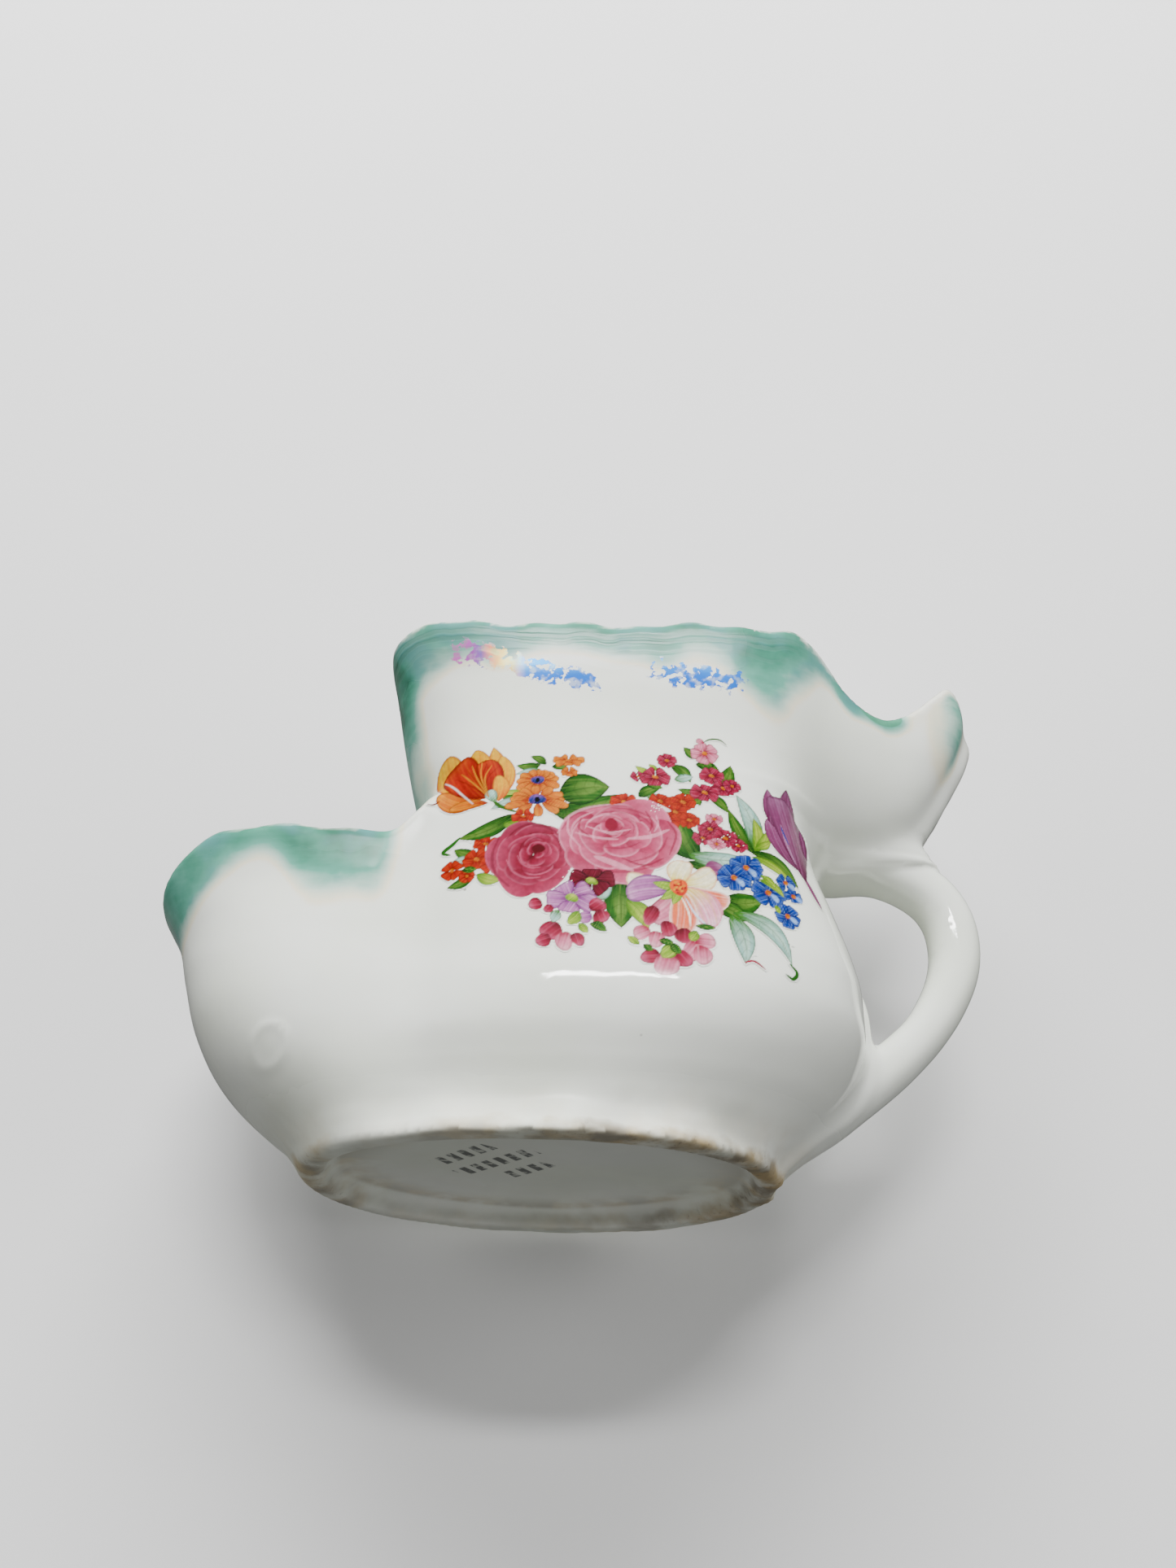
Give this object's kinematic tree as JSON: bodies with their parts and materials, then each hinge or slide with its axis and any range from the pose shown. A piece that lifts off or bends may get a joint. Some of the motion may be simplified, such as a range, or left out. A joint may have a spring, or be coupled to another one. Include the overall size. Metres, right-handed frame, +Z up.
{
  "type": "shaving scuttle mug",
  "caption": "Glazed porcelain scuttle mug with an open brush pocket, a raised strainer basin, a horned back lip, a loop handle and an oval foot ring.",
  "frame": {"origin": "centre of the mug's bounding box at the plane of the foot ring", "axes": "+X from the brush pocket to the handle, +Z up out of the soap basin, Y across the mug, with the printed bouquet on the -Y side"},
  "size_m": [0.161, 0.077, 0.102],
  "materials": {
    "porcelain": "gloss",
    "lustre": "pearl gloss",
    "transfer": "gloss"
  },
  "bodies": {
    "root": {"body": "porcelain", "soap_tray": "porcelain", "handle": "porcelain"}
  },
  "joints": []
}
